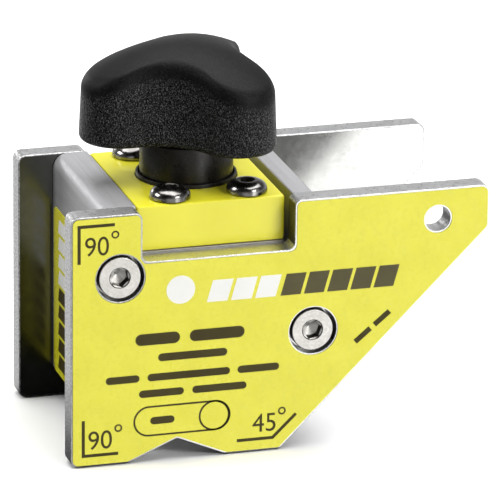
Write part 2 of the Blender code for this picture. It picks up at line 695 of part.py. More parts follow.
def shank_profile(radius, length):
    tip = 0.0005
    return [(radius, 0.0), (radius, -length + tip), (radius - tip, -length), (0.0, -length)]


def cap_screws():
    """Four button-head screws whose heads rest on the cap."""
    flat = 0.0022
    rim = 0.0005
    dome = [(flat + (BUTTON_RADIUS - flat) * math.sin(turn), rim + (BUTTON_HEIGHT - rim) * math.cos(turn))
            for turn in (math.radians(degrees) for degrees in (0, 30, 60, 90))]
    profile = [(0, BUTTON_HEIGHT), *dome, (BUTTON_RADIUS - 0.0002, 0.0),
               *shank_profile(CAP_SCREW_RADIUS, CAP_SCREW_LENGTH)]
    for number, (x, y) in enumerate(cap_screw_places(), start=1):
        placement = Matrix.Translation((x, y, CAP_TOP + FLAT_GAP / 2)) @ \
            Matrix.Rotation(math.radians(20 * number), 4, "Z")
        head_screw(f"cap_screw_{number}", profile, BUTTON_HEX, 0.0016, BUTTON_HEIGHT, "bright_screw",
                   placement)


def plate_screws():
    """Two screws through each plate into the saddle, their heads sunk just below the face."""
    edge = 0.0005
    profile = [(0, PLATE_HEAD_HEIGHT), (PLATE_HEAD_RADIUS - edge, PLATE_HEAD_HEIGHT),
               (PLATE_HEAD_RADIUS, PLATE_HEAD_HEIGHT - edge), (PLATE_HEAD_RADIUS, 0),
               *shank_profile(PLATE_SCREW_RADIUS, PLATE_SCREW_LENGTH)]
    for face, side in (("front", -1), ("rear", 1)):
        seat = side * (HALF_WIDTH - COUNTERBORE_DEPTH + FLAT_GAP / 2)
        for place, (x, z) in SCREW_PLACES.items():
            placement = Matrix.Translation((x, seat, z)) @ Matrix.Rotation(-side * math.pi / 2, 4, "X")
            head_screw(f"{face}_{place}_screw", profile, PLATE_HEX, 0.0024, PLATE_HEAD_HEIGHT,
                       "nickel_screw", placement)


def knob_screw():
    """The cap screw that comes up through the actuator into the knob's insert, head downwards."""
    length = 0.0300
    profile = [(0, KNOB_HEAD_HEIGHT), (KNOB_HEAD_RADIUS, KNOB_HEAD_HEIGHT), (KNOB_HEAD_RADIUS, 0),
               *shank_profile(KNOB_SCREW_RADIUS, length)]
    seat = FLANGE_BOTTOM + KNOB_HEAD_HEIGHT + 0.0007
    placement = Matrix.Translation((AXIS_X, 0, seat)) @ Matrix.Rotation(math.pi, 4, "X")
    return head_screw("knob_screw", profile, KNOB_HEX, 0.0030, KNOB_HEAD_HEIGHT, "nickel_screw", placement)


# ---------------------------------------------------------------- assembly
clear_scene()
parts = new_collection("welding_angle_magnet")
cutters = new_collection("cutters")
materials = {name: new_material(name, *finish) for name, finish in FINISHES.items()}

pole_plate("front_pole_plate", -1)
pole_plate("rear_pole_plate", 1)
plate_label("front_label", -1)
plate_label("rear_label", 1)
side_label()
spacer_body()
magnet_housing()
disc("bottom_disc", HOUSING_BOTTOM, DISC_HEIGHT, "housing_steel")
disc("lower_magnet", MAGNET_1_BOTTOM, MAGNET_HEIGHT, "magnet_nickel")
disc("friction_disc", FRICTION_BOTTOM, FRICTION_HEIGHT, "white_plastic", radius=0.0147, edge=0.0001)
cap_gasket()
top_cap()
collar_bush()
stop_pin()
upper_magnet()
actuator()
actuator_o_ring()
knob()
knob_insert()
knob_screw()
cap_screws()
plate_screws()
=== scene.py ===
"""Looks of the switchable welding angle magnet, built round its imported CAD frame.

Every piece is placed from the frame's own boxes. Units are metres.
"""

import json
import math

import bmesh
import bpy
from mathutils import Matrix, Vector


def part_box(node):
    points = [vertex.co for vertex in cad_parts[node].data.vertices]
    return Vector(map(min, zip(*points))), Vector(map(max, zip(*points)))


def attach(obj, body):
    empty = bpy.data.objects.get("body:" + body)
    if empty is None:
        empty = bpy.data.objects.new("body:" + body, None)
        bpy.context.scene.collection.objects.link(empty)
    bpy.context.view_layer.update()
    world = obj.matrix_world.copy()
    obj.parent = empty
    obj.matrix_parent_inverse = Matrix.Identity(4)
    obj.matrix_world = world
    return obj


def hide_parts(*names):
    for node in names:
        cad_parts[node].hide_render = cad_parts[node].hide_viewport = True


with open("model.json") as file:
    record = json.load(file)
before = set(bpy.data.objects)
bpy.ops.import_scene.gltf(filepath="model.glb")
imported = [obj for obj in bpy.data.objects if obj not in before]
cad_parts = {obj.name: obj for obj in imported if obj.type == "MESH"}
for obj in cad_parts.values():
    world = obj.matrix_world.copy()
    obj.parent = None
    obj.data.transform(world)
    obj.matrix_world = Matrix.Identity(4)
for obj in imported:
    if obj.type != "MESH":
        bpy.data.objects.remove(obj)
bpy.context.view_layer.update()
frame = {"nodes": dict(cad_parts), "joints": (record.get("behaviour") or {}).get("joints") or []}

FIXED = "frame_assembly"
TURNING = "rotor"
MM = 0.001
AXIS_X = frame["joints"][0]["pos_m"][0]

# ---------------------------------------------------------------- camera and light
LENS = 396.0                    # millimetres, on a 36 mm sensor
AZIMUTH = math.radians(-16.74)
ELEVATION = math.radians(18.78)
ROLL = math.radians(0.62)
TARGET = Vector((-17.35, -59.0, 60.71)) * MM
DISTANCE = 1.22155
SOFT_BOXES = {                  # place, size and watts
    "top_box": ((0.15, 0.15, 1.15), (1.6, 1.4), 29.0),
    "front_box": ((0.60, -1.05, 0.70), (0.45, 0.35), 7.0),
    "left_box": ((-0.92, 0.22, 0.60), (0.5, 0.4), 5.2),
    "back_strip": ((-0.42, 1.10, 0.36), (0.30, 0.30), 1.3),
}
FLOOR_HALF = (0.9, 0.9)
CARD_HALF = (55 * MM, 28 * MM)
CARD_MIDDLE_X = -8 * MM


def add_camera():
    data = bpy.data.cameras.new("camera")
    data.lens = LENS
    data.sensor_width = 36.0
    data.clip_start = 0.05
    camera = bpy.data.objects.new("camera", data)
    bpy.context.scene.collection.objects.link(camera)
    turn = (Matrix.Rotation(AZIMUTH, 4, "Z") @ Matrix.Rotation(math.pi / 2 - ELEVATION, 4, "X")
            @ Matrix.Rotation(ROLL, 4, "Z"))
    camera.matrix_world = Matrix.Translation(TARGET) @ turn @ Matrix.Translation((0, 0, DISTANCE))
    bpy.context.scene.camera = camera


def area_light(name, place, aim, size, power):
    """A white rectangular soft box at a place, facing its aim."""
    data = bpy.data.lights.new(name, "AREA")
    data.shape = "RECTANGLE"
    data.size, data.size_y = size
    data.energy = power
    lamp = bpy.data.objects.new(name, data)
    bpy.context.scene.collection.objects.link(lamp)
    turn = (Vector(aim) - Vector(place)).to_track_quat("-Z", "Y").to_matrix().to_4x4()
    lamp.matrix_world = Matrix.Translation(place) @ turn


def range_node(tree, value, low, high, out_low, out_high):
    """The value's span from low to high, mapped to another span and held at its ends."""
    node = tree.nodes.new("ShaderNodeMapRange")
    tree.links.new(value, node.inputs["Value"])
    for key, number in (("From Min", low), ("From Max", high),
                        ("To Min", out_low), ("To Max", out_high)):
        node.inputs[key].default_value = number
    return node.outputs[0]


def math_node(tree, operation, *values):
    """A Math node fed with numbers or other nodes' outputs."""
    node = tree.nodes.new("ShaderNodeMath")
    node.operation = operation
    for socket, value in zip(node.inputs, values):
        if isinstance(value, (int, float)):
            socket.default_value = value
        else:
            tree.links.new(value, socket)
    return node.outputs[0]


def add_studio():
    """Soft boxes round the object, in a room bright low in front, and dim above and front left."""
    for name, (place, size, power) in SOFT_BOXES.items():
        area_light(name, place, (0.0, 0.0, 0.03), size, power)
    world = bpy.data.worlds.new("studio")
    world.use_nodes = True
    bpy.context.scene.world = world
    tree = world.node_tree
    split = tree.nodes.new("ShaderNodeSeparateXYZ")
    tree.links.new(tree.nodes.new("ShaderNodeTexCoord").outputs["Generated"], split.inputs[0])
    slant = math_node(tree, "MULTIPLY_ADD", split.outputs["Y"], 0.60, split.outputs["X"])
    low = range_node(tree, split.outputs["Z"], 0.03, 0.42, 1.0, 0.15)
    ahead = range_node(tree, split.outputs["Y"], -0.90, -0.70, 4.6, 1.0)
    right = range_node(tree, slant, -0.37, -0.22, 0.20, 1.0)
    level = math_node(tree, "MULTIPLY", math_node(tree, "MULTIPLY", low, ahead), right)
    tree.links.new(level, tree.nodes["Background"].inputs["Color"])
    tree.nodes["Background"].inputs["Strength"].default_value = 1.0
    bpy.context.scene.view_settings.view_transform = "Standard"


def level_sheet(name, half, place, surface):
    """A flat sheet that lies level, from its half sizes along X and Y."""
    bm = bmesh.new()
    bmesh.ops.create_grid(bm, x_segments=1, y_segments=1, size=1.0)
    bmesh.ops.scale(bm, vec=(*half, 1.0), verts=bm.verts)
    sheet = new_object(name, mesh_from(bm, name), surface)
    sheet.location = place
    return sheet


def add_floor():
    """A pale floor kept out of reflections, where a dark card stands for its shaded part."""
    pale = Surface("floor", base_color=(0.95, 0.95, 0.95, 1), roughness=0.8)
    floor = level_sheet("floor", FLOOR_HALF, (0, 0, -0.2 * MM), pale)
    floor.visible_glossy = False
    floor.visible_diffuse = False
    dark = Surface("under_card", base_color=(0.02, 0.02, 0.02, 1), roughness=1.0,
                   specular_ior_level=0.0)
    card = level_sheet("under_card", CARD_HALF, (CARD_MIDDLE_X, 0, -0.1 * MM), dark)
    card.visible_camera = False
    card.visible_shadow = False
    card.visible_diffuse = False


# ---------------------------------------------------------------- materials
class Surface:
    """A Principled material whose sockets can be fed from textures in the object's own space."""

    def __init__(self, name, **values):
        self.material = bpy.data.materials.new(name)
        self.material.use_nodes = True
        self.tree = self.material.node_tree
        self.nodes, self.links = self.tree.nodes, self.tree.links
        self.shader = self.nodes["Principled BSDF"]
        for key, value in values.items():
            socket = key.replace("_", " ").title().replace("Ior", "IOR")
            self.shader.inputs[socket].default_value = value
        self.place = self.nodes.new("ShaderNodeTexCoord").outputs["Object"]
        self.normal = None

    def stretched(self, scale):
        mapping = self.nodes.new("ShaderNodeMapping")
        self.links.new(self.place, mapping.inputs["Vector"])
        mapping.inputs["Scale"].default_value = scale
        return mapping.outputs[0]

    def noise(self, scale, detail=3.0, roughness=0.5, stretch=(1, 1, 1)):
        node = self.nodes.new("ShaderNodeTexNoise")
        self.links.new(self.stretched(stretch), node.inputs["Vector"])
        node.inputs["Scale"].default_value = scale
        node.inputs["Detail"].default_value = detail
        node.inputs["Roughness"].default_value = roughness
        return node.outputs["Fac"]

    def cells(self, scale, stretch=(1, 1, 1)):
        node = self.nodes.new("ShaderNodeTexVoronoi")
        node.feature = "SMOOTH_F1"
        self.links.new(self.stretched(stretch), node.inputs["Vector"])
        node.inputs["Scale"].default_value = scale
        return node.outputs["Distance"]

    def span(self, value, low, high, out_low=0.0, out_high=1.0):
        return range_node(self.tree, value, low, high, out_low, out_high)

    def math(self, operation, *values):
        return math_node(self.tree, operation, *values)

    def along_x(self):
        """The X coordinate in the object's own space, in metres."""
        split = self.nodes.new("ShaderNodeSeparateXYZ")
        self.links.new(self.place, split.inputs[0])
        return split.outputs["X"]

    def attribute(self, name):
        node = self.nodes.new("ShaderNodeAttribute")
        node.attribute_name = name
        return node.outputs["Fac"]

    def colours(self, value, stops):
        """Base colour from a value, through (position, colour) stops."""
        node = self.nodes.new("ShaderNodeValToRGB")
        elements = node.color_ramp.elements
        while len(elements) < len(stops):
            elements.new(0.5)
        for element, (position, colour) in zip(elements, stops):
            element.position = position
            element.color = (*colour, 1.0)
        self.links.new(value, node.inputs[0])
        self.links.new(node.outputs[0], self.shader.inputs["Base Color"])

    def feed(self, socket, value):
        self.links.new(value, self.shader.inputs[socket])

    def bump(self, height, distance, strength=1.0):
        """Relief in metres, laid over any relief already there."""
        node = self.nodes.new("ShaderNodeBump")
        node.inputs["Distance"].default_value = distance
        if isinstance(strength, (int, float)):
            node.inputs["Strength"].default_value = strength
        else:
            self.links.new(strength, node.inputs["Strength"])
        self.links.new(height, node.inputs["Height"])
        if self.normal:
            self.links.new(self.normal, node.inputs["Normal"])
        self.normal = node.outputs[0]
        self.links.new(self.normal, self.shader.inputs["Normal"])


def rolled_steel():
    """The plates' flat faces: plated sheet, faintly cloudy, with painted shade darkening it towards
    the left end.
    """
    s = Surface("rolled_steel", metallic=1.0)
    # Painted shade: the base colour darkens towards the left end, from X = -22 mm down to -38 mm.
    left_end_painted_shade = s.span(s.along_x(), -38 * MM, -22 * MM, 0.0, 0.7)
    s.colours(s.math("ADD", left_end_painted_shade, s.math("MULTIPLY", s.noise(90, 6, 0.6), 0.3)),
              [(0.10, (0.14, 0.14, 0.13)), (0.90, (0.38, 0.38, 0.37))])
    s.feed("Roughness", s.span(s.noise(420, 4, 0.65), 0.3, 0.7, 0.16, 0.26))
    s.bump(s.noise(700, 3, stretch=(0.15, 1, 1)), 0.00001, 0.25)
    s.bump(s.noise(3500, 2), 0.000004, 0.4)
    return s


def sawn_steel():
    """The plates' cut edges: a fine bright grain left by cutting and tumbling."""
    s = Surface("sawn_steel", metallic=1.0)
    grain = s.noise(2000, 4, 0.7)
    s.colours(grain, [(0.40, (0.28, 0.28, 0.28)), (0.58, (0.70, 0.70, 0.70))])
    s.feed("Roughness", s.span(s.noise(1500, 3), 0.3, 0.7, 0.32, 0.55))
    s.bump(grain, 0.00006, 0.7)
    s.bump(s.noise(500, 2, stretch=(1, 0.2, 1)), 0.00004, 0.4)
    return s


def satin_aluminium():
    """The saddle: satin anodised, with faint drawn lines along its length."""
    s = Surface("satin_aluminium", metallic=0.6)
    lines = s.noise(1400, 4, 0.6, stretch=(1, 0.03, 1))
    s.colours(lines, [(0.25, (0.36, 0.36, 0.37)), (0.75, (0.46, 0.46, 0.47))])
    s.feed("Roughness", s.span(s.noise(700, 3), 0.3, 0.7, 0.40, 0.50))
    s.bump(lines, 0.00002, 0.35)
    s.bump(s.noise(5000, 2), 0.00001, 0.4)
    return s


def machined(name, dark, light, roughness):
    """Turned or milled metal with fine tool marks and a little unevenness."""
    s = Surface(name, metallic=1.0)
    s.colours(s.noise(220, 5, 0.6), [(0.3, dark), (0.7, light)])
    s.feed("Roughness", s.span(s.noise(1600, 3), 0.3, 0.7, roughness - 0.06, roughness + 0.08))
    s.bump(s.noise(1600, 3, stretch=(1, 1, 0.25)), 0.00002, 0.4)
    return s


def yellow_paint():
    """The cap: glossy yellow coating with slight orange peel."""
    s = Surface("yellow_paint", coat_weight=0.25, coat_roughness=0.12, specular_ior_level=0.35)
    s.colours(s.noise(60, 4), [(0.3, (0.70, 0.65, 0.024)), (0.7, (0.78, 0.73, 0.032))])
    s.feed("Roughness", s.span(s.noise(800, 3), 0.3, 0.7, 0.28, 0.40))
    s.bump(s.noise(1100, 2), 0.00004, 0.25)
    return s


def printed_film(name, first, second, roughness=0.38, specular=0.45):
    """Printed vinyl: near even colour, a faint mottle and a soft sheen."""
    s = Surface(name, specular_ior_level=specular)
    s.colours(s.noise(160, 5, 0.6), [(0.3, first), (0.7, second)])
    s.feed("Roughness", s.span(s.noise(600, 3), 0.3, 0.7, roughness - 0.05, roughness + 0.07))
    s.bump(s.noise(1800, 2), 0.00002, 0.3)
    return s


def grained_plastic():
    """The knob: leather grain on its gripping sides that fades out towards its smoother top, with
    lighter specks painted in as sparkle.
    """
    s = Surface("grained_plastic", specular_ior_level=0.11)
    grain = s.attribute("grain")
    # Painted sparkle: lighter specks in the base colour, full on the grained sides and faint on the
    # top.
    painted_sparkle = s.span(s.noise(4400, 2, 0.6, stretch=(1, 1, 0.7)), 0.50, 0.70)
    s.colours(s.math("MULTIPLY", painted_sparkle, s.span(grain, 0.0, 1.0, 0.15, 1.0)),
              [(0.0, (0.001, 0.001, 0.0012)), (1.0, (0.11, 0.11, 0.113))])
    s.feed("Roughness", s.span(grain, 0.0, 1.0, 0.46, 0.20))
    s.bump(s.cells(2300, stretch=(1, 1, 0.6)), 0.00035, s.math("MULTIPLY", grain, 0.9))
    s.bump(s.noise(3800, 2, 0.6, stretch=(1, 1, 0.7)), 0.00022, s.math("MULTIPLY", grain, 0.7))
    s.bump(s.noise(2600, 3, 0.7), 0.00012, 0.6)
    return s


def black_finish(name, roughness):
    """Black oxide, anodising or rubber, by its roughness."""
    s = Surface(name, specular_ior_level=0.25)
    s.colours(s.noise(500, 4), [(0.3, (0.004, 0.004, 0.003)), (0.7, (0.012, 0.010, 0.008))])
    s.feed("Roughness", s.span(s.noise(1200, 3), 0.3, 0.7, roughness - 0.05, roughness + 0.08))
    s.bump(s.noise(900, 2, stretch=(1, 1, 5)), 0.00003, 0.3)
    return s


# ---------------------------------------------------------------- mesh helpers
def mesh_from(bm, name):
    mesh = bpy.data.meshes.new(name)
    bm.to_mesh(mesh)
    bm.free()
    return mesh


def new_object(name, mesh, *surfaces):
    item = bpy.data.objects.new(name, mesh)
    bpy.context.scene.collection.objects.link(item)
    for surface in surfaces:
        mesh.materials.append(surface.material)
    return item


def smooth(mesh, degrees):
    """Smooth shading, broken where faces meet at a sharper angle."""
    mesh.shade_smooth()
    mesh.set_sharp_from_angle(angle=math.radians(degrees))


def settle(item, body, slot, *nodes):
    """Hangs a piece on its body's empty and hides the CAD nodes it stands for; the slot argument is
    not used.
    """
    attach(item, body)
    if nodes:
        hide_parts(*nodes)


def cad_copy(node):
    """The CAD node's own shape as a fresh mesh, with its flat faces whole again."""
    bm = bmesh.new()
    bm.from_mesh(frame["nodes"][node].data)
    bmesh.ops.remove_doubles(bm, verts=bm.verts, dist=0.000001)
    bmesh.ops.dissolve_limit(bm, angle_limit=math.radians(0.5), verts=bm.verts, edges=bm.edges)
    return bm


def soften(item, width, segments):
    """Rounded edges, with shading that keeps the large faces flat."""
    step = item.modifiers.new("edges", "BEVEL")
    step.width = width
    step.segments = segments
    step.limit_method = "ANGLE"
    step.angle_limit = math.radians(35)
    shading = item.modifiers.new("shading", "WEIGHTED_NORMAL")
    shading.weight = 100
    item.data.shade_smooth()


def detailed(node, slot, surface, width, segments=2):
    """A piece that takes a CAD node's shape and rounds its edges."""
    item = new_object(node + "_detail", mesh_from(cad_copy(node), node + "_detail"), surface)
    soften(item, width, segments)
    settle(item, FIXED, slot, node)


def even(radius, height):
    """A round row of a ringed body."""
    return lambda angle: (radius, height)


def hexed(across_flats, height):
    """A six-sided row of a ringed body."""
    sixth = math.pi / 3
    return lambda angle: (
        across_flats / 2 / math.cos((angle + sixth / 2) % sixth - sixth / 2), height)


def ringed(rows, columns, closed=False):
    """A body of rows round Z, from its foot up: each is a rule for (radius, height) at an angle."""
    bm = bmesh.new()
    angles = [2 * math.pi * step / columns for step in range(columns)]
    loops = []
    for rule in rows:
        spots = [(angle, *rule(angle)) for angle in angles]
        loops.append([bm.verts.new((radius * math.cos(angle), radius * math.sin(angle), height))
                      for angle, radius, height in spots])
    pairs = list(zip(loops, loops[1:]))
    if closed:
        pairs.append((loops[-1], loops[0]))
    else:
        bm.faces.new(loops[0][::-1])
        bm.faces.new(loops[-1])
    for lower, upper in pairs:
        for step in range(columns):
            ahead = (step + 1) % columns
            bm.faces.new((lower[step], lower[ahead], upper[ahead], upper[step]))
    bmesh.ops.recalc_face_normals(bm, faces=bm.faces)
    return bm


def arc(centre, radius, start, end, steps):
    """Round rows along an arc in the (radius, height) plane, between two angles in degrees."""
    turns = [math.radians(start + (end - start) * step / steps) for step in range(steps + 1)]
    return [even(centre[0] + radius * math.cos(turn), centre[1] + radius * math.sin(turn))
            for turn in turns]


# ---------------------------------------------------------------- plates, saddle and cap
ROLLED, SAWN, MILLED, NOTCH_SHADE = range(4)       # the plates' finishes in their order, the last a painted shade for the notch walls
NOTCH_START, NOTCH_END = -45 * MM, 40 * MM  # the notches lie between these along X
COLLAR_BORE = 11.2 * MM


def make_plate(node, *surfaces):
    """A plate with rounded edges: rolled faces, sawn edges, milled tops and notch walls darkened
    with painted shade.
    """
    bm = cad_copy(node)
    for face in bm.faces:
        along = face.calc_center_median().x
        in_notch = abs(face.normal.x) > 0.9 and NOTCH_START < along < NOTCH_END
        if abs(face.normal.y) > 0.9:
            face.material_index = ROLLED
        elif face.normal.z > 0.9:
            face.material_index = MILLED
        else:
            # Walls inside the notch take a painted shade.
            face.material_index = NOTCH_SHADE if in_notch else SAWN
    item = new_object(node + "_detail", mesh_from(bm, node + "_detail"), *surfaces)
    soften(item, 0.30 * MM, 3)
    item.modifiers["edges"].material = SAWN
    settle(item, FIXED, "plate_steel", node)


def make_collar(surface):
    """The black bush round the stem, with rounded lips."""
    low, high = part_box("collar_bush")
    outer = (high.x - low.x) / 2
    lip = 0.22 * MM
    rows = [even(COLLAR_BORE, low.z), even(outer, low.z),
            *arc((outer - lip, high.z - lip), lip, 0, 90, 5),
            *arc((COLLAR_BORE + lip, high.z - lip), lip, 90, 180, 5)]
    mesh = mesh_from(ringed(rows, 128, closed=True), "collar_detail")
    smooth(mesh, 35)
    item = new_object("collar_detail", mesh, surface)
    item.location = ((low.x + high.x) / 2, 0, 0)
    settle(item, FIXED, "black_collar", "collar_bush")


# ---------------------------------------------------------------- knob
KNOB_DOME = 12.2                # drop of the top, per metre, at a radius squared
KNOB_VALLEY = 4.0               # what it drops further between the lobes
LOBE_CENTRE = 16.8 * MM
LOBE_RADIUS = 8.7 * MM
KNOB_WAIST = 12.8 * MM
KNOB_LOWER_EDGE = 1.6 * MM
KNOB_SHOULDER = 2.3 * MM
KNOB_DRAFT = 0.5 * MM
KNOB_POCKET = 7.5 * MM
GRAIN_START = 2.6 * MM          # below the dome, where the leather grain begins to show
GRAIN_FULL = 4.4 * MM
LOBE_DIRECTIONS = (math.pi, math.pi / 3, -math.pi / 3)


def lobe_outline(angle):
    """The knob's radius at an angle: three lobe ends joined by hollow flanks, all tangent arcs."""
    offset = min(abs(math.remainder(angle - lobe, 2 * math.pi)) for lobe in LOBE_DIRECTIONS)
    step_in = KNOB_WAIST - LOBE_RADIUS
    flank_centre = (LOBE_CENTRE ** 2 - step_in ** 2) / (LOBE_CENTRE - 2 * step_in)
    flank_radius = flank_centre - KNOB_WAIST
    between = Vector((math.cos(math.pi / 3), math.sin(math.pi / 3))) * flank_centre
    lobe = Vector((LOBE_CENTRE, 0.0))
    tangent = lobe + (between - lobe).normalized() * LOBE_RADIUS
    if offset < math.atan2(tangent.y, tangent.x):
        return (LOBE_CENTRE * math.cos(offset)
                + math.sqrt(LOBE_RADIUS ** 2 - (LOBE_CENTRE * math.sin(offset)) ** 2))
    rest = math.pi / 3 - offset
    return (flank_centre * math.cos(rest)
            - math.sqrt(flank_radius ** 2 - (flank_centre * math.sin(rest)) ** 2))


def make_knob(surface):
    """The three-lobed knob, with a pocket below and a domed top that dips between the lobes."""
    low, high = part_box("knob")
    pocket_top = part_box("knob_insert")[1].z + 0.2 * MM

    def dome(radius, angle):
        between = (1 - math.cos(3 * (angle - math.pi))) / 2
        return high.z - (KNOB_DOME + KNOB_VALLEY * between) * radius ** 2

    def low_row(inset, rise):
        return lambda angle: (lobe_outline(angle) - inset, low.z + rise)

    def flank_row(share):
        def rule(angle):
            outline = lobe_outline(angle)
            bottom = low.z + KNOB_LOWER_EDGE
            top = dome(outline - KNOB_DRAFT, angle) - KNOB_SHOULDER
            return outline - KNOB_DRAFT * share, bottom + (top - bottom) * share
        return rule

    def shoulder_row(turn):
        def rule(angle):
            radius = lobe_outline(angle) - KNOB_DRAFT - KNOB_SHOULDER * (1 - math.cos(turn))
            return radius, dome(radius, angle) - KNOB_SHOULDER * (1 - math.sin(turn))
        return rule

    def top_row(share):
        def rule(angle):
            radius = (lobe_outline(angle) - KNOB_DRAFT - KNOB_SHOULDER) * share
            return radius, dome(radius, angle)
        return rule

    turns = [math.radians(90 * step / 7) for step in range(8)]
    rows = [even(KNOB_POCKET, pocket_top), even(KNOB_POCKET, low.z)]
    rows += [low_row(KNOB_LOWER_EDGE * (1 - math.sin(turn)), KNOB_LOWER_EDGE * (1 - math.cos(turn)))
             for turn in turns]
    rows += [flank_row(step / 10) for step in range(1, 10)]
    rows += [shoulder_row(turn) for turn in turns]
    rows += [top_row(share / 12) for share in range(11, 0, -1)]
    mesh = mesh_from(ringed(rows, 240), "knob_detail")
    smooth(mesh, 50)
    grain = mesh.attributes.new("grain", "FLOAT", "POINT")
    for vert in mesh.vertices:
        below = dome(math.hypot(vert.co.x, vert.co.y), math.atan2(vert.co.y, vert.co.x)) - vert.co.z
        share = (below - GRAIN_START) / (GRAIN_FULL - GRAIN_START)
        grain.data[vert.index].value = max(0.0, min(1.0, share))
    item = new_object("knob_detail", mesh, surface)
    item.location.x = AXIS_X
    settle(item, TURNING, "black_knob", "knob")


# ---------------------------------------------------------------- screws
SCREW_SHANK = 2.5 * MM
CAP_SCREW_TIP = -24.7 * MM      # from the top of the head
PLATE_SCREW_TIP = -19.7 * MM
SOCKET_REACH = 2.45 * MM        # the recess lies inside this radius
SOCKET_BOTTOM = -3.5 * MM       # and above this height


def head_up(node, side):
    """Where a screw's head top is and faces, by its node's box: side 0 up, -1 front, 1 rear."""
    low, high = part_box(node)
    middle = (low + high) / 2
    if side == 0:
        return Matrix.Translation((middle.x, middle.y, high.z))
    face = high.y if side > 0 else low.y
    turn = Matrix.Rotation(-side * math.pi / 2, 4, "X")
    return Matrix.Translation((middle.x, face, middle.z)) @ turn


def make_screw(node, side, slot, surfaces, head_rows, tip, turn):
    """A screw whose rows run from its tip over its head and down into the socket."""
    taper = 0.5 * MM
    bm = ringed([even(SCREW_SHANK - taper, tip), even(SCREW_SHANK, tip + taper), *head_rows], 96)
    for face in bm.faces:
        spot = face.calc_center_median()
        in_socket = spot.z > SOCKET_BOTTOM and spot.xy.length < SOCKET_REACH
        # Socket walls take the second finish, a painted shade.
        face.material_index = int(in_socket and face.normal.z < 0.9)
    mesh = mesh_from(bm, node + "_detail")
    smooth(mesh, 28)
    item = new_object(node + "_detail", mesh, *surfaces)
    item.matrix_world = head_up(node, side) @ Matrix.Rotation(math.radians(turn), 4, "Z")
    settle(item, FIXED, slot, node)


def socket_rows(across_flats, depth, flat_top):
    """The socket: a chamfered mouth, six walls and a drilled floor, below a flat at height 0."""
    corner = across_flats / math.sqrt(3)
    return [even(flat_top, 0.0),
            even(corner + 0.22 * MM, 0.0), even(corner + 0.02 * MM, -0.20 * MM),
            hexed(across_flats, -0.26 * MM), hexed(across_flats, -depth),
            even(across_flats * 0.46, -depth - 0.05 * MM), even(0.1 * MM, -depth - 0.75 * MM)]


def make_screws(bright, nickel, shaded_recess):
    """Four button heads in the cap and two socket heads in each plate."""
    radius, height, flat, rim = 4.75 * MM, 2.75 * MM, 2.2 * MM, 0.55 * MM
    dome = [even(flat + (radius - flat) * math.cos(turn), (height - rim) * (math.sin(turn) - 1))
            for turn in (math.radians(90 * step / 14) for step in range(15))]
    button = [even(SCREW_SHANK, -height), even(radius - 0.25 * MM, -height),
              even(radius, -height + 0.2 * MM),
              *dome, *socket_rows(3.0 * MM, 1.5 * MM, flat - 0.05 * MM)]
    for number in range(1, 5):
        make_screw(f"cap_screw_{number}", 0, "bright_screw", (bright, shaded_recess), button,
                   CAP_SCREW_TIP, 20 * number)
    radius, height, edge = 4.95 * MM, 3.8 * MM, 0.20 * MM
    socket_head = [even(SCREW_SHANK, -height), even(radius, -height),
                   *arc((radius - edge, -edge), edge, 0, 90, 6),
                   *socket_rows(4.0 * MM, 2.4 * MM, radius - edge - 0.05 * MM)]
    for face, side in (("front", -1), ("rear", 1)):
        for place, turn in (("left", 12), ("right", 40)):
            make_screw(f"{face}_{place}_screw", side, "nickel_screw", (nickel, shaded_recess), socket_head,
                       PLATE_SCREW_TIP, turn)


# ---------------------------------------------------------------- printed labels
FILM_FACE = 26.970 * MM
INK_MIDDLE = 26.9725 * MM
INK_THICKNESS = 0.045 * MM
HOLE_REACH = 6.5 * MM           # film edges this close to a screw's middle belong to its hole
HOLE_GROWTH = 0.12 * MM         # what those holes are widened by
BLOCK_LEAN = 0.28               # sideways shift of a block's top, per height

# The marks are laid out in millimetres, as seen from the front.
NUMBER_WIDTH, NUMBER_HEIGHT = 5.6, 4.5
PIPE_LEFT, PIPE_RIGHT = -35.0, -12.2
PIPE_MIDDLE, PIPE_HEIGHT = 9.85, 7.0
PIPE_LINE = 0.44
BLOCKS_LOW, BLOCKS_HIGH = 37.6, 42.8
SIDE_BLOCK_LEFTS = (-15.5, 2.0)
SIDE_BLOCK_WIDTH, SIDE_BLOCK_HEIGHT = 12.5, 3.4
SIDE_BLOCK_START, SIDE_BLOCK_PITCH = 1.6, 4.2


def stroke(points, width):
    """An open line drawn with an even width and mitred corners."""
    points = [Vector(point) for point in points]
    left, right = [], []
    for index, here in enumerate(points):
        after = (points[min(index + 1, len(points) - 1)] - here).normalized()
        before = (here - points[max(index - 1, 0)]).normalized()
        along = (before + after).normalized()
        across = Vector((-along.y, along.x))
        arriving = before if index else after
        reach = width / 2 / across.dot(Vector((-arriving.y, arriving.x)))
        left.append(here + across * reach)
        right.append(here - across * reach)
    return left + right[::-1]


def circle(x, z, radius):
    turns = [2 * math.pi * step / 40 for step in range(40)]
    return [Vector((x + radius * math.cos(turn), z + radius * math.sin(turn))) for turn in turns]


def hoop(x, z, radius, width):
    """A ring drawn with a line of that width."""
    return [circle(x, z, radius + width / 2), circle(x, z, radius - width / 2)]


def capsule(left, right, middle, height, steps=12):
    """A bar with round ends."""
    radius = height / 2
    outline = []
    for centre, start in ((right - radius, -90), (left + radius, 90)):
        for step in range(steps + 1):
            turn = math.radians(start + 180 * step / steps)
            outline.append(Vector((centre + radius * math.cos(turn),
                                   middle + radius * math.sin(turn))))
    return outline


def slanted_block(left, right, low, high):
    shift = (high - low) * BLOCK_LEAN
    return [Vector((left, low)), Vector((right, low)), Vector((right + shift, high)),
            Vector((left + shift, high))]


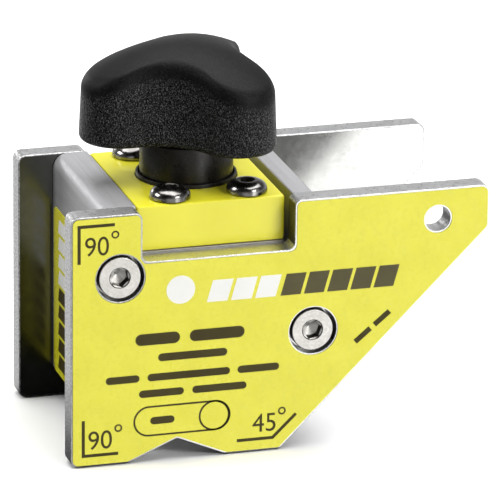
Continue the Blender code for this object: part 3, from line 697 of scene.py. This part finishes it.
def angle_marks(side):
    """Outlines and numbers of the marks by three corners: each degree ring follows its number."""
    outlines = [
        stroke([(-48.1, 49.3), (-48.1, 58.2), (-39.7, 58.2)], 0.75),
        stroke([(-47.1, 11.4), (-47.1, 2.75), (-38.8, 2.75)], 0.75),
        stroke([(-10.4, 3.0), (-1.8, 3.0), (3.8, 8.4)], 0.75),
    ]
    if side < 0:
        numbers = [("90", (-43.9, 53.3)), ("90", (-43.1, 6.4)), ("45", (-3.9, 6.9))]
    else:
        numbers = [("90", (-41.6, 53.3)), ("90", (-41.0, 6.4)), ("45", (-3.9, 6.9))]
    for _, (x, z) in numbers:
        outlines += hoop(x - side * 4.3, z + 2.5, 0.75, 0.38)
    return outlines, numbers


def pipe_mark():
    """The outline of a tube over the vee."""
    return [capsule(PIPE_LEFT - grow, PIPE_RIGHT + grow, PIPE_MIDDLE, PIPE_HEIGHT + 2 * grow, 24)
            for grow in (PIPE_LINE / 2, -PIPE_LINE / 2)]


def text_bars():
    """Plain bars where the label carries lines of print."""
    outlines = []
    for middle, height, spans in (
            (29.8, 2.8, ((-34.8, -24.2), (-21.9, -8.8))),
            (25.2, 1.9, ((-29.4, -12.9),)),
            (20.5, 1.8, ((-41.8, -33.8), (-31.9, -12.2), (-10.4, -0.4))),
            (16.6, 1.8, ((-33.9, -23.2), (-21.2, -8.2))),
            (9.9, 1.8, ((-31.2, -25.4),))):
        outlines += [capsule(left, right, middle, height) for left, right in spans]
    dashes = (((17.9, 24.7), (21.5, 27.7)), ((22.5, 28.5), (26.1, 31.5)))
    return outlines + [stroke(ends, 1.3) for ends in dashes]


def block_row(lefts, width):
    return [slanted_block(left, left + width, BLOCKS_LOW, BLOCKS_HIGH) for left in lefts]


def solid_from(curve):
    """The mesh of a curve or text that lies flat."""
    flat = bpy.data.objects.new(curve.name, curve)
    bpy.context.scene.collection.objects.link(flat)
    bpy.context.view_layer.update()
    depsgraph = bpy.context.evaluated_depsgraph_get()
    mesh = bpy.data.meshes.new_from_object(flat.evaluated_get(depsgraph))
    bpy.data.objects.remove(flat, do_unlink=True)
    bpy.data.curves.remove(curve)
    return mesh


def number_mesh(text, centre, flip):
    """Digits stretched to the numbers' size round a centre, mirrored where flip is -1."""
    curve = bpy.data.curves.new("number", "FONT")
    curve.body = text
    curve.extrude = INK_THICKNESS / MM / 2
    mesh = solid_from(curve)
    xs = [vert.co.x for vert in mesh.vertices]
    ys = [vert.co.y for vert in mesh.vertices]
    middle = Vector(((min(xs) + max(xs)) / 2, (min(ys) + max(ys)) / 2, 0))
    scale = (flip * NUMBER_WIDTH / (max(xs) - min(xs)), NUMBER_HEIGHT / (max(ys) - min(ys)), 1)
    mesh.transform(Matrix.Translation((*centre, 0)) @ Matrix.Diagonal((*scale, 1))
                   @ Matrix.Translation(-middle))
    return mesh


def ink(name, surface, outlines, place, numbers=(), flip=1):
    """Printed marks as one thin piece: outlines in mm, even-odd filled, and numbers."""
    curve = bpy.data.curves.new(name, "CURVE")
    curve.dimensions = "2D"
    curve.fill_mode = "BOTH"
    curve.extrude = INK_THICKNESS / MM / 2
    for outline in outlines:
        spline = curve.splines.new("POLY")
        spline.points.add(len(outline) - 1)
        for point, spot in zip(spline.points, outline):
            point.co = (spot.x, spot.y, 0.0, 1.0)
        spline.use_cyclic_u = True
    bm = bmesh.new()
    for mesh in [solid_from(curve)] + [number_mesh(*number, flip) for number in numbers]:
        bm.from_mesh(mesh)
        bpy.data.meshes.remove(mesh)
    bmesh.ops.remove_doubles(bm, verts=bm.verts, dist=0.001)
    bmesh.ops.transform(bm, matrix=place @ Matrix.Rotation(math.pi / 2, 4, "X")
                        @ Matrix.Diagonal((MM, MM, MM, 1)), verts=bm.verts)
    bmesh.ops.recalc_face_normals(bm, faces=bm.faces)
    item = new_object(name, mesh_from(bm, name), surface)
    settle(item, FIXED, "yellow_label")


def make_labels(film, dark, grey, white):
    """The yellow films with their marks."""
    for face, side in (("front", -1), ("rear", 1)):
        node = face + "_label"
        bm = cad_copy(node)
        screws = [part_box(f"{face}_{end}_screw") for end in ("left", "right")]
        for vert in bm.verts:
            vert.co.y = side * min(abs(vert.co.y), FILM_FACE)
            for low, high in screws:
                middle = (low + high) / 2
                away = Vector((vert.co.x - middle.x, 0, vert.co.z - middle.z))
                if away.length < HOLE_REACH:
                    vert.co += away.normalized() * HOLE_GROWTH
        item = new_object(node + "_film", mesh_from(bm, node + "_film"), film)
        settle(item, FIXED, "yellow_label", node)
        place = Matrix.Translation((0, side * INK_MIDDLE, 0))
        outlines, numbers = angle_marks(side)
        ink(node + "_angle_marks", dark, outlines, place, numbers, -side)
        ink(node + "_pipe_mark", dark, pipe_mark(), place)
        ink(node + "_pipe_end", dark, hoop(-15.9, PIPE_MIDDLE, PIPE_HEIGHT / 2, PIPE_LINE), place)
        ink(node + "_text_bars", dark, text_bars(), place)
        ink(node + "_white_blocks", white,
            [circle(-24.1, 41.2, 3.4), *block_row((-17.9, -12.15, -6.4), 4.9)], place)
        ink(node + "_grey_blocks", grey, block_row((-0.3, 5.3, 10.9, 16.5, 22.1), 4.8), place)
    skin = new_object("side_label_film", mesh_from(cad_copy("side_label"), "side_label_film"), film)
    settle(skin, FIXED, "yellow_label", "side_label")
    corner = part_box("side_label")[0]
    place = Matrix.Translation((corner.x, 0, 0)) @ Matrix.Rotation(-math.pi / 2, 4, "Z")
    for name, surface, rows in (("side_white_blocks", white, range(5, 9)),
                                ("side_dark_blocks", dark, range(5))):
        lows = [corner.z / MM + SIDE_BLOCK_START + SIDE_BLOCK_PITCH * row for row in rows]
        blocks = [slanted_block(left, left + SIDE_BLOCK_WIDTH, low, low + SIDE_BLOCK_HEIGHT)
                  for low in lows for left in SIDE_BLOCK_LEFTS]
        ink(name, surface, blocks, place)


# ---------------------------------------------------------------- assembly
add_camera()
add_studio()
add_floor()

plate_finishes = (rolled_steel(), sawn_steel(),
                  machined("milled_steel", (0.62, 0.62, 0.63), (0.74, 0.74, 0.75), 0.32),
                  # The notch walls' finish: painted shade.
                  machined("notch_painted_shade", (0.06, 0.055, 0.045), (0.18, 0.17, 0.15), 0.40))
for plate in ("front_pole_plate", "rear_pole_plate"):
    make_plate(plate, *plate_finishes)
detailed("spacer_body", "satin_aluminium", satin_aluminium(), 0.15 * MM)
detailed("top_cap", "yellow_paint", yellow_paint(), 0.24 * MM, 3)
make_collar(black_finish("black_collar", 0.30))
make_knob(grained_plastic())
stem = new_object("actuator_detail", mesh_from(cad_copy("actuator"), "actuator_detail"),
                  black_finish("black_oxide", 0.30))
smooth(stem.data, 25)
settle(stem, TURNING, "black_oxide", "actuator")
bright = machined("bright_plating", (0.09, 0.085, 0.08), (0.32, 0.31, 0.30), 0.17)
nickel = machined("satin_nickel", (0.30, 0.29, 0.27), (0.39, 0.38, 0.36), 0.30)
# The sockets' finish is painted shade.
make_screws(bright, nickel, machined("socket_painted_shade", (0.05, 0.045, 0.04), (0.14, 0.13, 0.12), 0.35))
make_labels(printed_film("yellow_film", (0.69, 0.65, 0.020), (0.75, 0.71, 0.030), 0.28),
            printed_film("dark_ink", (0.042, 0.032, 0.006), (0.056, 0.044, 0.010), 0.45, 0.15),
            printed_film("grey_ink", (0.080, 0.070, 0.030), (0.100, 0.088, 0.040), 0.45, 0.15),
            printed_film("white_ink", (0.80, 0.80, 0.76), (0.86, 0.86, 0.82)))

magnet_plating = machined("magnet_plating", (0.48, 0.46, 0.42), (0.62, 0.60, 0.56), 0.20)
housing_steel = machined("housing_steel", (0.55, 0.55, 0.53), (0.70, 0.69, 0.66), 0.50)
rubber = black_finish("seal_rubber", 0.60)
CAD_FINISHES = {
    "magnet_housing": housing_steel,
    "bottom_disc": housing_steel,
    "lower_magnet": magnet_plating,
    "upper_magnet": magnet_plating,
    "friction_disc": printed_film("white_plastic", (0.74, 0.73, 0.70), (0.82, 0.81, 0.78), 0.45),
    "cap_gasket": printed_film("fibre_gasket", (0.34, 0.32, 0.28), (0.46, 0.44, 0.39), 0.6, 0.2),
    "actuator_o_ring": rubber,
    "stop_pin": nickel,
    "knob_screw": nickel,
    "knob_insert": machined("turned_brass", (0.62, 0.42, 0.16), (0.76, 0.55, 0.24), 0.28),
}
for name, surface in CAD_FINISHES.items():
    node = frame["nodes"][name]
    node.data.materials.clear()
    node.data.materials.append(surface.material)
